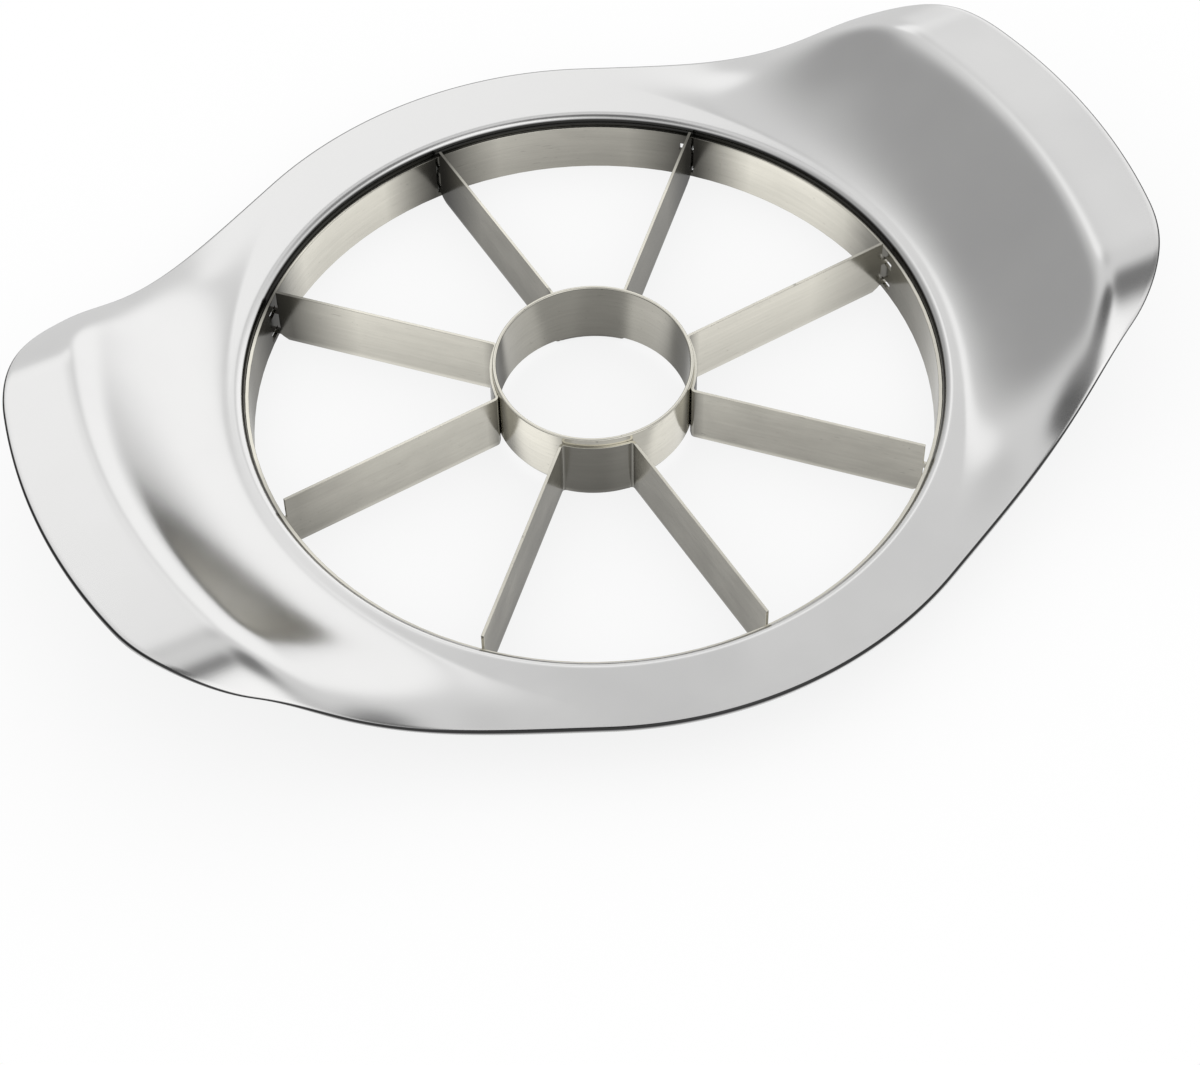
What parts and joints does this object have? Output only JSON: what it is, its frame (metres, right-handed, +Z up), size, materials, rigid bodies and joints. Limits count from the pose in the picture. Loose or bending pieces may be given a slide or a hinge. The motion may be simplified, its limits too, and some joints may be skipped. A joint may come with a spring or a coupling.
{
  "type": "apple slicer",
  "caption": "Hand-pressed steel apple slicer: a ring of radial blades round a corer tube, in a band under a polished plate with two raised wing handles.",
  "frame": {"origin": "on the axis of the opening, in the plane of the band's and the blades' lower edges", "axes": "+X along the wings, +Z up along the axis of the opening, away from the fruit"},
  "size_m": [0.148, 0.1098, 0.0216],
  "materials": {
    "polished_steel": "mirror-polished stainless steel",
    "satin_steel": "satin stainless steel with fine scratches"
  },
  "bodies": {
    "root": {"handle_plate": "polished_steel", "outer_band": "satin_steel", "corer_ring": "satin_steel", "blade_pair_right": "satin_steel", "blade_pair_back": "satin_steel", "blade_pair_left": "satin_steel", "blade_pair_front": "satin_steel"}
  },
  "joints": []
}
